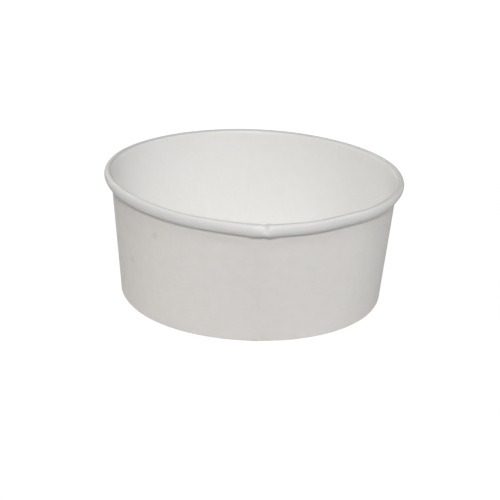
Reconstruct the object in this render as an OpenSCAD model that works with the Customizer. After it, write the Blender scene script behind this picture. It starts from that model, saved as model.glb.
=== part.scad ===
// Round paper bowl for take-away food: one board wall with a rolled rim, and a round bottom
// held in the wall's folded foot. Millimetres, +Z up. The origin is at the middle of the foot,
// on the table, and the wall's lap seam faces -Y.

/* [Bowl] */
// Diameter over the rolled rim
rim_d = 150; // [143:1:190]
// Diameter of the foot, at the outer face of the wall
base_d = 135; // [100:1:142]
// Height from the table to the top of the rim
bowl_h = 62; // [30:1:120]
// Thickness of the wall's board
board_t = 0.4; // [0.3:0.05:0.6]
// Width of the lap where the wall's two ends are sealed together
lap_w = 7; // [4:0.5:12]

/* [Rolled rim] */
// Width of the roll, from the wall's inner face outwards
roll_w = 3.3; // [2.6:0.1:5]
// Height of the roll
roll_h = 5.3; // [5.2:0.1:8]
// How far the cut edge runs on up inside the roll
tuck_h = 0.8; // [0.2:0.1:1.6]
// Space left between the rolled-in edge and the wall
roll_gap = 0.05; // [0.02:0.01:0.15]

/* [Bottom and foot] */
// Thickness of the bottom's board
disc_t = 0.35; // [0.25:0.05:0.5]
// Height of the bottom's underside above the table
recess_h = 5.6; // [4:0.1:12]
// Inside radius of the bend at the bottom's edge
bend_r = 0.4; // [0.2:0.1:0.8]
// How far below that bend the wall's hem ends
hem_gap = 0.3; // [0.1:0.1:1]
// How far above the fold the bottom's turned-down edge ends
skirt_gap = 0.3; // [0.1:0.1:1]
// Space for the glue line on each side of the turned-down edge
glue_gap = 0.03; // [0.02:0.01:0.06]
// How much the fold is pressed flat where the bowl stands
press_t = 0.1; // [0.05:0.01:0.15]

/* [Hidden] */
// Pieces of a full turn about the bowl's axis, and degrees to a step round a bend
$fn = 180;
turn_step = 8;

board_colour = [0.93, 0.93, 0.91];
disc_colour = [0.95, 0.95, 0.94];

// The roll's section is an oval of four arcs: two round ends and two flatter sides.
half_w = roll_w / 2;
half_h = roll_h / 2;
end_r = half_w - board_t - roll_gap;
end_up = half_h - end_r;
side_r = (half_w ^ 2 + end_up ^ 2 - end_r ^ 2) / (2 * (half_w - end_r));
join_a = asin(end_up / (side_r - end_r));
roll_c = [rim_d / 2 - half_w, bowl_h - half_h];
inner_side_c = roll_c + [side_r - half_w, 0];
outer_side_c = roll_c - [side_r - half_w, 0];
top_end_c = roll_c + [0, end_up];
low_end_c = roll_c - [0, end_up];

// The wall runs straight from the foot until it touches the roll's inner side.
foot_r = base_d / 2;
to_side = inner_side_c - [foot_r, 0];
lean = 90 - atan2(to_side.y, to_side.x) - asin((side_r - board_t) / norm(to_side));

// Measured inwards across the foot: the wall, the bottom's turned-down edge and the hem.
skirt_u = board_t + glue_gap;
hem_u = skirt_u + disc_t + glue_gap;
fold_r = (board_t + hem_u) / 2;
fold_c = [-fold_r, (fold_r - press_t - fold_r * sin(lean)) / cos(lean)];

// The bend at the bottom's edge touches the flat bottom and the turned-down edge.
bend_out = bend_r + disc_t;
bend_c = [foot_r + (recess_h - bend_r) * tan(lean) - (skirt_u + bend_out) / cos(lean), recess_h - bend_r];

lap_a = 2 * asin(lap_w / 2 / foot_r);

function dir(a) = [cos(a), sin(a)];

// Angles from one to another without the first, in steps that the middle angle ends one of
function turn(from, to) =
    let (n = 2 * ceil(abs(to - from) / turn_step / 2)) [for (i = [1 : n]) from + (to - from) * i / n];

// Points round a centre at the given angles
function arc(centre, r, angles) = [for (a = angles) centre + r * dir(a)];

// A point given outwards across the wall and up along it, as radius and height
function on_wall(p) = [foot_r + p.x * cos(lean) + p.y * sin(lean), p.y * cos(lean) - p.x * sin(lean)];

function on_wall_all(points) = [for (p = points) on_wall(p)];

// How far up the wall a point this far inwards stands at height z
function up_wall(z, inwards) = (z - inwards * sin(lean)) / cos(lean);

function reversed(points) = [for (i = [len(points) - 1 : -1 : 0]) points[i]];

// The line at depth d in the wall's board, from the hem's edge to the rolled-in edge;
// the food side is at depth 0.
function wall_line(d) = concat(
    on_wall_all([[-hem_u - d, up_wall(bend_c.y - hem_gap, hem_u)]]),
    on_wall_all(arc(fold_c, fold_r - board_t + d, concat([-180], turn(-180, 0)))),
    arc(inner_side_c, side_r - d, concat([180 - lean], turn(180 - lean, 180 - join_a))),
    arc(top_end_c, end_r - d, turn(180 - join_a, join_a)),
    arc(outer_side_c, side_r - d, turn(join_a, -join_a)),
    arc(low_end_c, end_r - d, turn(-join_a, -180 - lean)),
    [low_end_c - (end_r - d) * dir(-lean) + tuck_h * dir(90 - lean)]
);

// The line at depth d in the bottom's board, from the middle to the turned-down edge
function disc_line(d) = concat(
    [[0, recess_h + disc_t - d]],
    arc(bend_c, bend_out - d, concat([90], turn(90, -lean))),
    [on_wall([-skirt_u - d, fold_c.y + skirt_gap])]
);

// The half plane above the table
module above_table() {
    square([rim_d, 2 * bowl_h]);
}

module wall_section() {
    intersection() {
        polygon(concat(wall_line(0), reversed(wall_line(board_t))));
        above_table();
    }
}

// The outer end of the blank: one more board on the wall and under the roll
module lap_section() {
    wall_top = up_wall(low_end_c.y, 0);
    fold_angles = concat([-90], turn(-90, 0));
    roll_angles = concat([-join_a], turn(-join_a, -180 - lean));
    intersection() {
        union() {
            polygon(concat(
                on_wall_all(arc(fold_c, fold_r + board_t, fold_angles)),
                on_wall_all([[board_t, wall_top], [-board_t / 2, wall_top]]),
                on_wall_all(reversed(arc(fold_c, fold_r - board_t / 2, fold_angles)))
            ));
            polygon(concat(
                arc(low_end_c, end_r + board_t, roll_angles),
                reversed(arc(low_end_c, end_r - board_t / 2, roll_angles))
            ));
        }
        above_table();
    }
}

module side_wall() {
    color(board_colour) {
        rotate_extrude() wall_section();
        rotate([0, 0, -90 - lap_a / 2]) rotate_extrude(angle = lap_a) lap_section();
    }
}

module bottom_disc() {
    color(disc_colour) rotate_extrude() polygon(concat(disc_line(0), reversed(disc_line(disc_t))));
}

side_wall();
bottom_disc();
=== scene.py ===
import bpy
import numpy as np
from mathutils import Matrix, Vector


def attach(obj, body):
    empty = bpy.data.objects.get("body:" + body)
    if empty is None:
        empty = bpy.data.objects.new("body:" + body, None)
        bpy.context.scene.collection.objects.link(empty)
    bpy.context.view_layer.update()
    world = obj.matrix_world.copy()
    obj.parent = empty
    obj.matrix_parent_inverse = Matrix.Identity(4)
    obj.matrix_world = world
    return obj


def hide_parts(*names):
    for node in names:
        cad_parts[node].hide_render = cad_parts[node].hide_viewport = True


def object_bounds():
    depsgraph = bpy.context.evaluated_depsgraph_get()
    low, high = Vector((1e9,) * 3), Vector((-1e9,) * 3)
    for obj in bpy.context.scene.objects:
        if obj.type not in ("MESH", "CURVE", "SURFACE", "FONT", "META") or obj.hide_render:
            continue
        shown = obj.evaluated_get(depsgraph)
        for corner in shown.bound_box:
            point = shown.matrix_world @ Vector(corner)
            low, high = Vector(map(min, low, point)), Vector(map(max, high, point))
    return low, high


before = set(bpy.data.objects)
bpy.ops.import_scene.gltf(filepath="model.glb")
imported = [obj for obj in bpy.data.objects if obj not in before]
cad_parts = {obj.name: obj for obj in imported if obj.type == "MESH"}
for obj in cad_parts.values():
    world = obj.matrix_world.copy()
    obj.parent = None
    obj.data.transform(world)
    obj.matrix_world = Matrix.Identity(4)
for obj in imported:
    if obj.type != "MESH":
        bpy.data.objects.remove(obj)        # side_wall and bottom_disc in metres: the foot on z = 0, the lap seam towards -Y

cadLow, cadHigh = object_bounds()        # the CAD model's box
mm = 0.001
scene = bpy.context.scene
print("frame loaded: %.1f mm across, %.1f mm high" % ((cadHigh.x - cadLow.x) / mm, cadHigh.z / mm))

# The camera stands where the photograph was taken from. Pixels count from the picture's top left corner.
photoCamera = {
    "pictureSize": 500,        # pixels
    "focalLength": 1002.7,        # pixels
    "azimuth": -7.7,        # degrees; 0 looks along +Y
    "elevation": 21.51,
    "roll": 2.28,
    "distance": 517.9,        # mm, from the bowl's middle
    "bowlMiddle": (252.43, 226.75),        # where that middle falls in the picture, pixels
    "sensorWidth": 36,        # mm
    "clipStart": 0.01,        # metres
}


def placeCamera(values):
    # Looks straight at the bowl's middle, then rolls and turns aside until that middle falls in its place.
    azimuth, elevation, roll = np.radians([values["azimuth"], values["elevation"], values["roll"]])
    level = np.cos(elevation)
    back = Vector((np.sin(azimuth) * level, -np.cos(azimuth) * level, np.sin(elevation)))
    right = Vector((np.cos(azimuth), np.sin(azimuth), 0))
    aside, down = [np.arctan((pixel - values["pictureSize"] / 2) / values["focalLength"])
                   for pixel in values["bowlMiddle"]]
    facing = Matrix((right, back.cross(right), back)).transposed()
    for angle, axis in ((roll, "Z"), (aside, "Y"), (down, "X")):
        facing = facing @ Matrix.Rotation(angle, 3, axis)
    eye = Vector((0, 0, cadHigh.z / 2)) + back * values["distance"] * mm
    camera = bpy.data.objects.new("camera", bpy.data.cameras.new("camera"))
    camera.data.sensor_width = values["sensorWidth"]
    camera.data.lens = values["focalLength"] * values["sensorWidth"] / values["pictureSize"]
    camera.data.clip_start = values["clipStart"]
    camera.matrix_world = Matrix.Translation(eye) @ facing.to_4x4()
    scene.collection.objects.link(camera)
    scene.camera = camera


placeCamera(photoCamera)
print("camera placed")


# Shader maths is written as plain expressions: an operator on a Wire adds a Math node.
class Wire:
    def __init__(self, shader, socket):
        self.shader, self.socket = shader, socket

    def __add__(self, other):
        return self.shader.math("ADD", self, other)

    def __sub__(self, other):
        return self.shader.math("SUBTRACT", self, other)

    def __rsub__(self, other):
        return self.shader.math("SUBTRACT", other, self)

    def __mul__(self, other):
        return self.shader.math("MULTIPLY", self, other)

    def __abs__(self):
        return self.shader.math("ABSOLUTE", self)

    __radd__, __rmul__ = __add__, __mul__


class Shader:
    def __init__(self, name):
        self.material = bpy.data.materials.new(name)
        self.material.use_nodes = True
        self.tree = self.material.node_tree
        self.tree.nodes.clear()

    # Any node: its type, its settings first, then the values or wires of its sockets
    def node(self, kind, settings={}, sockets={}, output=0):
        made = self.tree.nodes.new(kind)
        for name, value in settings.items():
            setattr(made, name, value)
        for name, value in sockets.items():
            if isinstance(value, Wire):
                self.tree.links.new(value.socket, made.inputs[name])
            else:
                made.inputs[name].default_value = value
        return Wire(self, made.outputs[output] if made.outputs else None)

    def math(self, operation, *values):
        return self.node("ShaderNodeMath", {"operation": operation}, dict(enumerate(values)))

    def vector(self, operation, *values, output=0):
        return self.node("ShaderNodeVectorMath", {"operation": operation}, dict(enumerate(values)), output)

    # A share of the second colour over the first; the numbers are the colour sockets of a Mix node
    def blend(self, share, first, second):
        return self.node("ShaderNodeMix", {"data_type": "RGBA"}, {0: share, 6: first, 7: second}, output=2)

    # From 0 to 1 as value goes from start to end, with a soft beginning and end
    def ramp(self, value, start, end):
        return self.node("ShaderNodeMapRange", {"interpolation_type": "SMOOTHSTEP"},
                         {"Value": value, "From Min": start, "From Max": end})

    # Noise about zero, from about -0.5 to 0.5, with lumps of the given size in the place's own units
    def noise(self, place, size, detail=2.0):
        return self.node("ShaderNodeTexNoise", {}, {"Vector": place, "Scale": 1 / size, "Detail": detail}) - 0.5

    def finish(self, surface):
        self.node("ShaderNodeOutputMaterial", {}, {"Surface": surface})
        return self.material


# Studio: a pale floor, and large soft lamps round the bowl. The photograph has pure white round the bowl, so
# the floor that the camera sees glows, as on a light table. A grey board just under it, which the camera does
# not see, throws the lamps' light back up onto the bowl, and glows a little itself right under it.
studio = {
    "floorWidth": 8.0,        # metres
    "floorColour": (0.18, 0.18, 0.18, 1),
    "floorRoughness": 0.8,
    # glow near the bowl and far off, and the metres from its middle between which the one becomes the other
    "floorGlow": (0.88, 1.0, 0.16, 0.55),
    "throwColour": (0.66, 0.66, 0.66, 1),
    "throwGlow": (0.065, 0.0, 0.09, 0.14),
    "throwDrop": 0.0002,        # metres under the floor
    "backdrop": (1.0, 1.0, 1.0, 1),
}
# each lamp: azimuth (-90 is in front of the seam), elevation, distance m, width m, watts, colour
lamps = {
    "key": (-98, 37, 1.6, 0.25, 11.0, (1, 0.997, 0.99)),
    "keyHigh": (-98, 62, 1.6, 0.25, 4.5, (1, 1, 1)),
    "left": (-178, 28, 1.5, 1.0, 1.8, (1, 0.965, 0.90)),
    "right": (-18, 28, 1.5, 1.0, 3.7, (0.98, 0.995, 1)),
    "back": (82, 35, 1.6, 1.0, 2.9, (1, 1, 1)),
    "backLeft": (118, 35, 1.5, 0.5, 6.1, (1, 0.99, 0.96)),
    "leftHigh": (-178, 55, 1.5, 1.0, 2.6, (1, 0.985, 0.96)),
    "rightHigh": (-18, 55, 1.5, 1.0, 2.1, (0.99, 1, 1)),
}


def addLamp(name, azimuth, elevation, distance, width, watts, colour):
    azimuth, elevation = np.radians([azimuth, elevation])
    level = np.cos(elevation)
    towards = Vector((np.cos(azimuth) * level, np.sin(azimuth) * level, np.sin(elevation)))
    lamp = bpy.data.objects.new(name, bpy.data.lights.new(name, "AREA"))
    lamp.data.shape, lamp.data.size = "DISK", width
    lamp.data.energy, lamp.data.color = watts, colour
    lamp.location = towards * distance
    lamp.rotation_euler = towards.to_track_quat("Z", "Y").to_euler()
    lamp.visible_camera = False
    scene.collection.objects.link(lamp)


def addPlane(name, height, colour, glow):
    # A square plane whose glow changes with the distance from the bowl, by its Object coordinates (output 3)
    half = studio["floorWidth"] / 2
    mesh = bpy.data.meshes.new(name)
    corners = [(-half, -half), (half, -half), (half, half), (-half, half)]
    mesh.from_pydata([(*corner, height) for corner in corners], [], [(0, 1, 2, 3)])
    near, far, start, end = glow
    shader = Shader(name)
    fromBowl = shader.vector("LENGTH", shader.node("ShaderNodeTexCoord", output=3), output=1)
    glowColour = shader.blend(shader.ramp(fromBowl, start, end), (near, near, near, 1), (far, far, far, 1))
    mesh.materials.append(shader.finish(shader.node("ShaderNodeBsdfPrincipled", {}, {
        "Base Color": colour, "Roughness": studio["floorRoughness"], "Specular IOR Level": 0.0,
        "Emission Color": glowColour, "Emission Strength": 1.0})))
    plane = bpy.data.objects.new(name, mesh)
    scene.collection.objects.link(plane)
    return plane


def addBackdrop(colour):
    # The camera sees the world as the floor's own white, and it lights nothing.
    world = scene.world or bpy.data.worlds.new("backdrop")
    scene.world = world
    world.use_nodes = True
    world.node_tree.nodes["Background"].inputs["Color"].default_value = colour
    for ray in ("diffuse", "glossy", "transmission", "scatter"):
        setattr(world.cycles_visibility, ray, False)


floor = addPlane("floor", 0, studio["floorColour"], studio["floorGlow"])
floor.visible_diffuse = floor.visible_glossy = floor.visible_shadow = False
throwBoard = addPlane("throw_board", -studio["throwDrop"], studio["throwColour"], studio["throwGlow"])
throwBoard.visible_camera = False
addBackdrop(studio["backdrop"])
for lampName, lamp in lamps.items():
    addLamp(lampName, *lamp)
scene.view_settings.view_transform = "Standard"
print("studio lit")

# The bowl's sizes, as in the CAD source, in millimetres
bowl = {
    "rimAcross": 150.0, "footAcross": 135.0, "height": 62.0,
    "board": 0.4,        # the wall's board
    "lap": 7.0,        # width of the seam where the wall's two ends lie on each other
    "rollWidth": 3.3, "rollHeight": 5.3, "tuck": 0.8, "rollGap": 0.05,
    "discBoard": 0.35, "recess": 5.6, "bend": 0.4,
    "hemGap": 0.3, "skirtGap": 0.3, "glue": 0.03, "press": 0.1,
}

# How the real bowl departs from a true circle: each wave is (how many round the bowl, mm, degrees of a crest).
# At the lap the rim comes to a slight point, which fades to nothing at the foot.
outOfRound = {
    "rimWaves": [(2, 0.43, -59.4), (3, 0.62, 27.6), (4, 0.50, -8.0), (13, 0.03, 10), (19, 0.02, 5)],
    "footWaves": [(2, 0.13, -43.5), (3, 0.52, -36.2), (4, 0.19, -50.5), (17, 0.03, 3)],
    "shoulder": 58.8,        # mm; the rim's shape holds from here up
    # how much further in the wall stands under the roll: mm, and one of the two opposite places, in degrees
    "pinch": 0.36, "pinchAt": -7.7,
    # the point: mm out, degrees of its place and of its fading, how hollow its sides are, and its bluntness
    "point": 2.65, "pointAt": -93.9, "pointReach": 18.0, "pointPower": 1.5, "pointBlunt": 0.3,
    "flats": [(-63.0, 8.0, 0.9), (-79.0, 6.0, -0.5)],        # flats in the rim: degrees, degrees wide, mm in
}


def unit(degrees):
    return np.stack([np.cos(np.radians(degrees)), np.sin(np.radians(degrees))], axis=-1)


def arc(middle, radius, start, end, count):
    return middle + radius * unit(np.linspace(start, end, count))


def straight(start, end, count):
    return start + (end - start) * np.linspace(0, 1, count)[:, None]


# Section of the bowl as (radius, height), worked out as in the CAD source
halfWidth, halfHeight = bowl["rollWidth"] / 2, bowl["rollHeight"] / 2
endRadius = halfWidth - bowl["board"] - bowl["rollGap"]
endUp = halfHeight - endRadius
sideRadius = (halfWidth ** 2 + endUp ** 2 - endRadius ** 2) / (2 * (halfWidth - endRadius))
joinAngle = np.degrees(np.arcsin(endUp / (sideRadius - endRadius)))
rollMiddle = np.array([bowl["rimAcross"] / 2 - halfWidth, bowl["height"] - halfHeight])
innerSide = rollMiddle + [sideRadius - halfWidth, 0]
outerSide = rollMiddle - [sideRadius - halfWidth, 0]
topEnd, lowEnd = rollMiddle + [0, endUp], rollMiddle - [0, endUp]
footRadius = bowl["footAcross"] / 2
toSide = innerSide - [footRadius, 0]
leanRadians = (np.pi / 2 - np.arctan2(toSide[1], toSide[0])
               - np.arcsin((sideRadius - bowl["board"]) / np.hypot(*toSide)))
lean = np.degrees(leanRadians)
skirtIn = bowl["board"] + bowl["glue"]        # from the wall's outer face to the bottom's turned-down edge
hemIn = skirtIn + bowl["discBoard"] + bowl["glue"]        # and to the hem
foldRadius = (bowl["board"] + hemIn) / 2
foldMiddle = np.array([-foldRadius, (foldRadius - bowl["press"] - foldRadius * np.sin(leanRadians))
                       / np.cos(leanRadians)])
bendOut = bowl["bend"] + bowl["discBoard"]
bendUp = bowl["recess"] - bowl["bend"]
bendMiddle = np.array([footRadius + bendUp * np.tan(leanRadians) - (skirtIn + bendOut) / np.cos(leanRadians),
                       bendUp])
lapHalf = np.degrees(np.arcsin(bowl["lap"] / 2 / footRadius))
# How many points each stretch of the section has
stretch = {"hem": 6, "fold": 21, "wall": 20, "shoulder": 7, "rollEnd": 19, "rollSide": 13,
           "bottom": 24, "bend": 11, "skirt": 5}
# How many of the wall's rows lie in the hem, in hem and fold together, and in the roll
hemRows = stretch["hem"] - 1
foldRows = hemRows + stretch["fold"]
rollRows = stretch["shoulder"] + 2 * stretch["rollEnd"] + stretch["rollSide"] - 1


def onWall(points):
    # Points given outwards across the wall and up along it, turned by the wall's lean
    across, up = np.asarray(points, float).T
    return np.stack([footRadius + across * np.cos(leanRadians) + up * np.sin(leanRadians),
                     up * np.cos(leanRadians) - across * np.sin(leanRadians)], axis=-1)


def wallLine(depth):
    # Hem, round the fold of the foot, up the wall, and round the roll's four arcs to the edge tucked inside it.
    # Depth 0 is the food side of the board, and a deeper line keeps the same number of points.
    hemTop = np.array([-hemIn - depth, (bendMiddle[1] - bowl["hemGap"] - hemIn * np.sin(leanRadians))
                       / np.cos(leanRadians)])
    fold = arc(foldMiddle, foldRadius - bowl["board"] + depth, -180, 0, stretch["fold"])
    shoulder = arc(innerSide, sideRadius - depth, 180 - lean, 180 - joinAngle, stretch["shoulder"])
    roll = [arc(topEnd, endRadius - depth, 180 - joinAngle, joinAngle, stretch["rollEnd"])[1:],
            arc(outerSide, sideRadius - depth, joinAngle, -joinAngle, stretch["rollSide"])[1:],
            arc(lowEnd, endRadius - depth, -joinAngle, -180 - lean, stretch["rollEnd"])[1:]]
    tucked = lowEnd - (endRadius - depth) * unit(-lean) + bowl["tuck"] * unit(90 - lean)
    foot = onWall(np.concatenate([straight(hemTop, fold[0], stretch["hem"])[:-1], fold]))
    wall = straight(foot[-1], shoulder[0], stretch["wall"])[1:-1]
    return np.concatenate([foot, wall, shoulder, *roll, [tucked]])


def discLine(depth):
    # The bottom from its middle to the bend, then the edge that is turned down into the fold
    level = bowl["recess"] + bowl["discBoard"] - depth
    flat = straight(np.array([0, level]), np.array([bendMiddle[0], level]), stretch["bottom"])
    bend = arc(bendMiddle, bendOut - depth, 90, -lean, stretch["bend"])
    skirtEnd = onWall([[-skirtIn - depth, foldMiddle[1] + bowl["skirtGap"]]])
    return np.concatenate([flat, bend[1:], straight(bend[-1], skirtEnd[0], stretch["skirt"])[1:]])


def waves(turn, which):
    return sum(size * np.cos(np.radians(count * (turn - crest))) for count, size, crest in outOfRound[which])


def apart(turn, place):
    # Degrees from a place round the bowl, from -180 to 180
    return (turn - place + 180) % 360 - 180


def smooth(x):
    x = np.clip(x, 0, 1)
    return x * x * (3 - 2 * x)


def extraRadius(turn, height, across=0.0):
    # The foot's waves at the table, the rim's waves and its point at the shoulder, and an even change between.
    # Across counts from 0 at the wall to 1 at the roll's outer side, where the pinch has gone.
    away = np.sqrt(apart(turn, outOfRound["pointAt"]) ** 2 + outOfRound["pointBlunt"])
    fade = np.clip(1 - away / outOfRound["pointReach"], 0, 1)
    point = outOfRound["point"] * fade ** outOfRound["pointPower"]
    share = np.clip(height / outOfRound["shoulder"], 0, 1)
    pinch = outOfRound["pinch"] * np.cos(np.radians(turn - outOfRound["pinchAt"])) ** 2 * (1 - across)
    flats = sum(deep * np.exp(-(apart(turn, place) / wide) ** 2) for place, wide, deep in outOfRound["flats"])
    return share * (waves(turn, "rimWaves") + point - pinch - flats) + (1 - share) * waves(turn, "footWaves")


def turned(radius, turn, height):
    # Radius, degrees round the bowl and height, in mm, as points in metres
    angle = np.radians(turn)
    return np.stack([radius * np.cos(angle), radius * np.sin(angle), height], axis=-1) * mm


sharpAngle = 50        # degrees; a bend sharper than this stays crisp


def makePiece(name, points, faces, materials, kinds, uv, node):
    # One closed mesh; uv is given for each vertex and kinds is each face's material
    mesh = bpy.data.meshes.new(name)
    mesh.from_pydata(points.tolist(), [], [face for group in faces for face in group.tolist()])
    for material in materials:
        mesh.materials.append(material)
    mesh.polygons.foreach_set("material_index", np.concatenate(kinds))
    mesh.polygons.foreach_set("use_smooth", np.ones(len(mesh.polygons), bool))
    corners = np.zeros(len(mesh.loops), np.int32)
    mesh.loops.foreach_get("vertex_index", corners)
    layer = mesh.uv_layers.new(name="board")
    layer.data.foreach_set("uv", uv[corners].astype(np.float32).ravel())
    mesh.set_sharp_from_angle(angle=np.radians(sharpAngle))
    mesh.update()
    piece = bpy.data.objects.new(name, mesh)
    scene.collection.objects.link(piece)
    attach(piece, "root")
    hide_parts(node)
    print("%s: %d vertices, %d faces" % (name, len(mesh.vertices), len(mesh.polygons)))
    return piece


# Board: white paper with a faint grain. Sizes in mm; every pattern lies on the flat board, by the uv map.
outerBoard = {
    "colour": (0.81, 0.789, 0.769, 1), "cloudColour": (0.785, 0.76, 0.735, 1), "roughness": 0.72,
    "coat": 0.0, "grain": 0.008, "fibre": 0.006, "cockle": 0.008,
}
foodBoard = {
    "colour": (0.877, 0.872, 0.862, 1), "cloudColour": (0.862, 0.856, 0.844, 1), "roughness": 0.56,
    "coat": 0.10, "grain": 0.004, "fibre": 0.003, "cockle": 0.006,
    # painted shade: how much darker than the inside the roll's outer side is made, standing in for the shade
    # that falls on it, over how many mm it comes on, and a painted dark line along its crown
    "rollPaintedShade": 0.155, "paintedShadeReach": 3.2, "crownPaintedShade": 0.33,
    "crownIn": 0.3, "crownBand": (0.35, 1.5),        # the painted shade starts so far inside the crown; half widths of the crown's painted dark line
}
bottomBoard = {**foodBoard, "colour": (0.715, 0.71, 0.70, 1), "cloudColour": (0.69, 0.685, 0.675, 1)}
cutBoard = {
    "colour": (0.74, 0.72, 0.68, 1), "cloudColour": (0.66, 0.63, 0.58, 1), "roughness": 0.85,
    "coat": 0.0, "grain": 0.02, "fibre": 0.02, "cockle": 0.0,
}
# What all the boards share: the sizes of the patterns, how much each shows, and the film
paper = {
    "cloudSize": 5.0, "cloudSpan": 0.25, "grainSize": 0.45, "cockleSize": 11.0, "detail": 3.0,
    # fibres lie both ways: repeats a mm round and up, and half width
    "fibreUp": ((2.4, 0.7, 1), 0.05), "fibreRound": ((0.55, 2.6, 1), 0.07), "fibreUpShare": 0.6,
    "cloudTint": 0.7, "fibreTint": 0.12, "cloudRoughness": 0.06, "grainRoughness": 0.10,
    "ior": 1.48, "coatRoughness": 0.22, "coatIor": 1.5,
    # smudges and spots of painted shade: the share of the radius at full strength, and how the edge frays: mm,
    # share of the radius
    "smudgeAndShadeColour": (0.22, 0.20, 0.17, 1), "smudgeAndShadeCore": 0.15, "smudgeAndShadeFray": (1.1, 0.7),
}
# Faint smudges on the wall's outer face: degrees round the bowl, height, radius, strength
smudges = [(-137.6, 45.7, 3.0, 0.13), (-153.6, 27.2, 2.8, 0.12), (-76.2, 38.7, 2.2, 0.05),
           (-105.9, 39.5, 2.0, 0.02)]


def boardMaterial(name, board, smudgesAndShade=(), crownAt=None):
    # smudgesAndShade: places on the board, each with a radius and a strength, for smudges and for spots of
    # painted shade. crownAt: mm up the board to a roll's crown, round which painted shade is laid.
    shader = Shader(name)
    place = shader.node("ShaderNodeUVMap", {"uv_map": "board"})
    detail, span = paper["detail"], paper["cloudSpan"]
    cloud = shader.ramp(shader.noise(place, paper["cloudSize"], detail), -span, span)
    grain = shader.noise(place, paper["grainSize"], detail)

    def fibres(repeats, width):
        # Thin lines where a drawn-out noise crosses zero
        drawn = shader.noise(shader.vector("MULTIPLY", place, repeats), 1.0, detail)
        return 1 - shader.ramp(abs(drawn), 0.0, width)

    fibre = fibres(*paper["fibreRound"]) + fibres(*paper["fibreUp"]) * paper["fibreUpShare"]
    height = (grain * board["grain"] * 2 + fibre * board["fibre"]
              + shader.noise(place, paper["cockleSize"], 1.0) * board["cockle"] * 2)
    colour = shader.blend(cloud * paper["cloudTint"] + fibre * paper["fibreTint"],
                          board["colour"], board["cloudColour"])
    # Painted shade on the roll: its outer side grows darker away from the crown, and a dark line runs along the
    # crown itself, where the light falls off
    if crownAt is not None:
        upBoard = shader.node("ShaderNodeSeparateXYZ", {}, {"Vector": place}, output=1)
        fromCrown = upBoard - (crownAt - board["crownIn"])
        paintedShade = (shader.ramp(fromCrown, 0.0, board["paintedShadeReach"]) * board["rollPaintedShade"]
                 + (1 - shader.ramp(abs(fromCrown), *board["crownBand"])) * board["crownPaintedShade"])
        colour = shader.blend(paintedShade, colour, (0, 0, 0, 1))
    # Each place darkens the board round it: the smudges, and the painted shade in a dent
    fraySize, frayShare = paper["smudgeAndShadeFray"]
    for spotAt, size, strength in smudgesAndShade:
        distance = (shader.vector("DISTANCE", place, (*spotAt, 0), output=1)
                    + shader.noise(place, fraySize) * size * frayShare)
        share = (1 - shader.ramp(distance, size * paper["smudgeAndShadeCore"], size)) * strength
        colour = shader.blend(share, colour, paper["smudgeAndShadeColour"])
    normal = shader.node("ShaderNodeBump", {}, {"Height": height, "Distance": mm, "Strength": 1.0})
    roughness = (cloud * paper["cloudRoughness"] + grain * paper["grainRoughness"]
                 + (board["roughness"] - paper["cloudRoughness"] / 2))
    sockets = {"Base Color": colour, "Roughness": roughness, "Normal": normal, "IOR": paper["ior"]}
    if board["coat"]:
        sockets.update({"Coat Weight": board["coat"], "Coat Roughness": paper["coatRoughness"],
                        "Coat IOR": paper["coatIor"]})
    return shader.finish(shader.node("ShaderNodeBsdfPrincipled", {}, sockets))


cutEdge = boardMaterial("cut board edge", cutBoard)

# Side wall: one strip of board bent round the bowl, with its outer end lapped over its inner end
sideWall = {
    # columns of the strip round the bowl: each stretch goes on to these degrees, in steps of so many
    "seamColumns": [(-82, 0.25), (-70, 0.75)], "evenStep": 1.5, "endColumns": [(262, 0.6), (None, 0.25)],
    "evenEnd": 252, "creaseReach": 0.7, "creaseStep": 0.08,
    "rampWidth": 4.5,        # degrees over which the outer end climbs onto the inner one
    "plyGap": 0.02,        # mm between the two
    "flush": 0.6, "flushFade": 3.0,        # how much of the step the pressed roll keeps, and over how many mm
    # the fold is pressed thin at the lap: by how much, up to which height, over how many mm
    "foldPress": 0.5, "foldPressTop": 2.2, "foldPressFade": 1.4,
    # the roll droops by the lap: mm out and up, between these degrees, fading over degrees and mm of the roll
    "swell": (0.12, -0.12), "swellFrom": -96.2, "swellTo": -92.0, "swellFade": 5.0, "swellDown": 3.2,
    # the roll's inner side at the lap: mm inwards, mm round; and how much its crown stands up: mm, mm round
    "lapBulges": [(0.75, 16.0), (0.7, 4.0)], "lapRises": [(0.3, 4.0), (0.30, 46.0)],
    "bulgeFade": 5.0,        # mm of wall below the roll over which the bulges begin
    # dents by the notch in the roll: degrees, mm up from the roll's middle, size round and along, mm in
    "dents": [(-92.9, 1.72, 1.2, 0.8, 0.5), (-93.1, -0.9, 1.15, 0.7, -0.75)], "dentSlant": 0.35,
    "dentPaintedShade": (1.5, 0.16),        # radius in mm and strength of the painted shade in the first dent
    # creases: degrees at the foot and at the rim, depth, half width, heights from and to
    "creases": [(85.1, 85.5, 0.17, 0.5, -9, 99), (-92.2, -92.2, 0.035, 0.5, 51, 57.5),
                (-89.4, -89.4, 0.035, 0.5, 51, 57.5)],
    "creaseFade": 2.0,        # mm at each end
    "hemRibs": 150, "hemRib": 0.06,        # the hem's pressed ribs: how many, and how deep
    # slight unevenness: mm, waves (how many round, degrees, slant in mm, share), height where it starts, fade
    "cockle": 0.02, "cockles": [(9, 40, 9, 1), (16, -70, -13, 1), (27, 15, 7, 0.6)],
    "cockleFrom": 4, "cockleFade": 10,
}
foodLine, outerLine = wallLine(0), wallLine(bowl["board"])
middleLine = (foodLine + outerLine) / 2
inward = (outerLine - foodLine) / bowl["board"]        # from the food side into the board
along = np.concatenate([[0], np.cumsum(np.hypot(*np.diff(middleLine, axis=0).T))])
rowCount = len(along)
isRoll = np.arange(rowCount) >= rowCount - rollRows        # the roll's rows, from where it leaves the wall
rollTop = along[np.argmax(foodLine[:, 1])]
rollBottom = along[isRoll][np.argmin(foodLine[isRoll][:, 1])]


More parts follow.
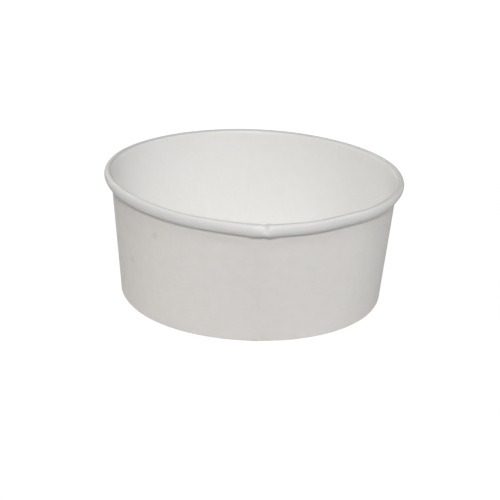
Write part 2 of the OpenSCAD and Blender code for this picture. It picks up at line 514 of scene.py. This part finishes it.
def columns():
    # Degrees round the bowl of the strip's columns, closer together by the seam and the crease
    crease, reach = sideWall["creases"][0][:2], sideWall["creaseReach"]
    ends = [*sideWall["seamColumns"], (min(crease) - reach, sideWall["evenStep"]),
            (max(crease) + reach, sideWall["creaseStep"]), (sideWall["evenEnd"], sideWall["evenStep"]),
            *sideWall["endColumns"]]
    start, parts = -90 - lapHalf, []
    for end, step in ends:
        end = 270 + lapHalf if end is None else end
        parts.append(np.linspace(start, end, int(np.ceil((end - start) / step)), endpoint=False))
        start = end
    return np.concatenate([*parts, [start]])


turn = columns()


def onRoll(rise):
    # How far along the section the roll's outer side stands so many mm above the roll's middle
    outerHalf = isRoll & (foodLine[:, 0] > rollMiddle[0])
    return along[outerHalf][np.argmin(np.abs(foodLine[outerHalf][:, 1] - rollMiddle[1] - rise))]


def wallFace(side):
    # Each point goes into the board by its depth, along the section's own inward direction. The strip's outer
    # end climbs by one board, the roll swells there, and dents, creases and ribs move both faces alike.
    rows, cols = np.arange(rowCount)[:, None], turn[None, :]
    height, up, onRollRows = middleLine[:, 1][:, None], along[:, None], isRoll[:, None]
    lapStart, lapEnd = 270 - lapHalf, -90 + lapHalf
    ply = smooth((cols - (lapStart - sideWall["rampWidth"])) / sideWall["rampWidth"])
    depth = ply * (bowl["board"] + sideWall["plyGap"]) + side * bowl["board"]
    inLap = smooth(cols - (lapStart - 1)) + smooth(lapEnd + 1 - cols)
    belowPress = (sideWall["foldPressTop"] - height) / sideWall["foldPressFade"]
    pressed = np.where(rows < foldRows, smooth(belowPress), 0)
    rollShare = np.where(onRollRows, smooth((up - along[~isRoll][-1]) / sideWall["flushFade"]), 0)
    depth = (depth * (1 - sideWall["foldPress"] * pressed * inLap)
             * (1 - (1 - sideWall["flush"]) * rollShare * inLap))
    for degrees, rise, sizeRound, sizeAlong, deep in sideWall["dents"]:
        roundMm = np.radians(apart(cols, degrees)) * bowl["rimAcross"] / 2
        upMm = up - onRoll(rise)
        depth = depth + deep * np.exp(-((roundMm - sideWall["dentSlant"] * upMm) / sizeRound) ** 2
                                      - (upMm / sizeAlong) ** 2)
    for low, high, deep, halfWide, fromHeight, toHeight in sideWall["creases"]:
        degrees = low + (high - low) * height / bowl["height"]
        roundMm = np.abs(np.radians(apart(cols, degrees))) * footRadius
        ends = (smooth((height - fromHeight) / sideWall["creaseFade"])
                * smooth((toHeight - height) / sideWall["creaseFade"] + 1))
        depth = depth + deep * smooth(1 - roundMm / halfWide) * ends * ~onRollRows
    ribs = np.where(rows < hemRows, 0.5 + 0.5 * np.cos(np.radians(cols * sideWall["hemRibs"])), 0)
    depth = depth + sideWall["hemRib"] * ribs * np.sin(np.pi * np.clip(rows / hemRows, 0, 1))
    cockle = sum(share * np.sin(np.radians(count * cols + shift) + height / slant)
                 for count, shift, slant, share in sideWall["cockles"])
    aboveFoot = smooth((height - sideWall["cockleFrom"]) / sideWall["cockleFade"])
    depth = depth + sideWall["cockle"] / 2 * cockle * aboveFoot * ~onRollRows
    points = foodLine[:, None, :] + inward[:, None, :] * depth[..., None]
    fromFront = apart(cols, 0)
    swell = (smooth((fromFront - sideWall["swellFrom"]) / sideWall["swellFade"] + 1)
             * smooth((sideWall["swellTo"] - fromFront) / sideWall["swellFade"] + 1))
    down = smooth((up - rollTop) / sideWall["swellDown"]) * onRollRows
    points = points + (swell * down)[..., None] * np.array(sideWall["swell"])
    fromPoint = np.radians(apart(cols, outOfRound["pointAt"])) * bowl["rimAcross"] / 2
    aboveMiddle = np.clip((points[..., 1] - rollMiddle[1]) / halfHeight, 0, 1) * onRollRows
    rise = sum(size * np.exp(-(fromPoint / wide) ** 2) for size, wide in sideWall["lapRises"])
    points[..., 1] += rise * smooth(aboveMiddle)
    tucked = smooth((up - rollBottom) / (along[-1] - rollBottom)) * onRollRows
    points[..., 0] += tucked * swell * bowl["board"]        # room for the second board inside the roll
    across = np.clip((points[..., 0] - rollMiddle[0]) / bowl["rollWidth"] + 0.5, 0, 1) * onRollRows
    bulge = sum(size * np.exp(-(fromPoint / wide) ** 2) for size, wide in sideWall["lapBulges"])
    bulge = bulge * (1 - across) * smooth((up - along[isRoll][0]) / sideWall["bulgeFade"] + 1)
    radius = points[..., 0] + extraRadius(cols, points[..., 1], across) - bulge
    return turned(radius, np.broadcast_to(cols, radius.shape), np.maximum(points[..., 1], 0))


def strip(first, second):
    # Faces between two lines of vertices, one to each step along them
    return np.stack([first[:-1], second[:-1], second[1:], first[1:]], axis=-1)


def onBoard(degrees, height):
    # Where a place on the wall lies on the flat board, in mm
    rising = slice(foldRows, rowCount - rollRows)
    degrees = degrees if degrees > -90 - lapHalf else degrees + 360
    return (np.radians(degrees) * footRadius, float(np.interp(height, middleLine[rising, 1], along[rising])))


def makeWall():
    # Two sheets of vertices, the food side and the outer side, joined along the strip's four cut edges
    food = np.arange(rowCount * len(turn)).reshape(rowCount, len(turn))
    outer = food + food.size
    foodQuads = np.stack([food[:-1, :-1], food[1:, :-1], food[1:, 1:], food[:-1, 1:]], axis=-1)
    foodQuads = foodQuads.reshape(-1, 4)
    outerQuads = np.stack([outer[:-1, :-1], outer[:-1, 1:], outer[1:, 1:], outer[1:, :-1]], axis=-1)
    outerQuads = outerQuads.reshape(-1, 4)
    cutQuads = np.concatenate([strip(outer[0], food[0]), strip(food[-1], outer[-1]),
                               strip(food[:, 0], outer[:, 0]), strip(outer[:, -1], food[:, -1])])
    uv = np.stack(np.broadcast_arrays(np.radians(turn[None, :]) * footRadius, along[:, None]), axis=-1)
    dentDegrees, dentRise = sideWall["dents"][0][:2]
    # the dent lies in the lap, so its painted shade is on both ends of the strip
    paintedDentShade = [((np.radians(dentDegrees + end) * footRadius, onRoll(dentRise)), *sideWall["dentPaintedShade"])
                 for end in (0, 360)]
    smudgeMarks = [(onBoard(degrees, height), size, strength) for degrees, height, size, strength in smudges]
    # The food side's material has painted shade on the roll's outer side and along its crown, and a spot of
    # painted shade in the dent by the notch.
    return makePiece("wall_board", np.concatenate([wallFace(0).reshape(-1, 3), wallFace(1).reshape(-1, 3)]),
                     [foodQuads, outerQuads, cutQuads],
                     [boardMaterial("filmed board", foodBoard, paintedDentShade, rollTop),
                      boardMaterial("white board", outerBoard, smudgeMarks), cutEdge],
                     [np.zeros(len(foodQuads), int), np.ones(len(outerQuads), int), np.full(len(cutQuads), 2)],
                     np.tile(uv.reshape(-1, 2), (2, 1)), "side_wall")


makeWall()

# Bottom: a round of board, a little slack in the middle, whose edge is turned down into the fold
bottom = {
    "columns": 240,
    "sag": 0.35,        # mm at the middle
    "slackFade": 6.0, "slackEdge": 0.2,        # mm over which the slack fades, and mm past the bend's start
    # small pleats at the bend: how many, mm, and their place and width as shares of the radius
    "pleats": 96, "pleat": 0.05, "pleatAt": 0.985, "pleatWidth": 0.02,
    # slight unevenness: mm, waves (how many round, degrees, slant in mm, power of the radius, share)
    "cockle": 0.06, "cockles": [(3, 20, 9, 1, 1), (5, -50, -13, 2, 0.7)],
    "roundShare": 0.9,        # the wall's out-of-round shape is whole from this share of the radius
}


def makeBottom():
    # The section is carried round the bowl: rings of vertices from the top's pole to the underside's pole.
    top, under = discLine(0), discLine(bowl["discBoard"])
    line = np.concatenate([top, under[::-1]])
    fromMiddle = np.concatenate([[0], np.cumsum(np.hypot(*np.diff(top, axis=0).T))])
    fromPole = np.concatenate([fromMiddle, fromMiddle[::-1]])
    degrees = np.arange(bottom["columns"]) * 360 / bottom["columns"]
    radius, height = line[1:-1, :1], line[1:-1, 1:]
    share = np.clip(radius / bendMiddle[0], 0, 1)
    slack = smooth((bendMiddle[0] + bottom["slackEdge"] - radius) / bottom["slackFade"])
    pleats = (np.cos(np.radians(degrees * bottom["pleats"]))
              * np.exp(-((share - bottom["pleatAt"]) / bottom["pleatWidth"]) ** 2))
    cockle = sum(share ** power * size * np.sin(np.radians(count * degrees + shift) + radius / slant)
                 for count, shift, slant, power, size in bottom["cockles"])
    height = (height + slack * (bottom["cockle"] * cockle - bottom["sag"] * (1 - share ** 2))
              + bottom["pleat"] * pleats * slack)
    radius = radius + extraRadius(degrees[None, :], height) * smooth(share / bottom["roundShare"])
    rings = turned(radius, np.broadcast_to(degrees, radius.shape), height)
    poles = turned(np.zeros(2), np.zeros(2), np.array([top[0, 1], under[0, 1]]) - bottom["sag"])
    points = np.concatenate([rings.reshape(-1, 3), poles])
    ringCount, columnCount = rings.shape[:2]
    number = np.arange(ringCount * columnCount).reshape(ringCount, columnCount)
    onwards = np.roll(number, -1, axis=1)
    quads = np.stack([number[:-1], number[1:], onwards[1:], onwards[:-1]], axis=-1).reshape(-1, 4)
    topPole, underPole = number.size, number.size + 1
    fans = np.concatenate([np.stack([np.full(columnCount, topPole), number[0], onwards[0]], axis=-1),
                           np.stack([number[-1], np.full(columnCount, underPole), onwards[-1]], axis=-1)])
    half = len(top) - 1        # rings before this one are on the food side
    kinds = np.where(np.arange(ringCount - 1) < half - 1, 0, 1)
    kinds[half - 1] = 2
    flatOut = fromPole[1:-1, None, None] * unit(degrees)[None]
    uv = np.concatenate([flatOut.reshape(-1, 2), np.zeros((2, 2))])
    return makePiece("bottom_board", points, [quads, fans],
                     [boardMaterial("bottom's filmed board", bottomBoard),
                      boardMaterial("bottom's white board", outerBoard), cutEdge],
                     [np.repeat(kinds, columnCount), np.repeat([0, 1], columnCount)], uv,
                     "bottom_disc")


makeBottom()
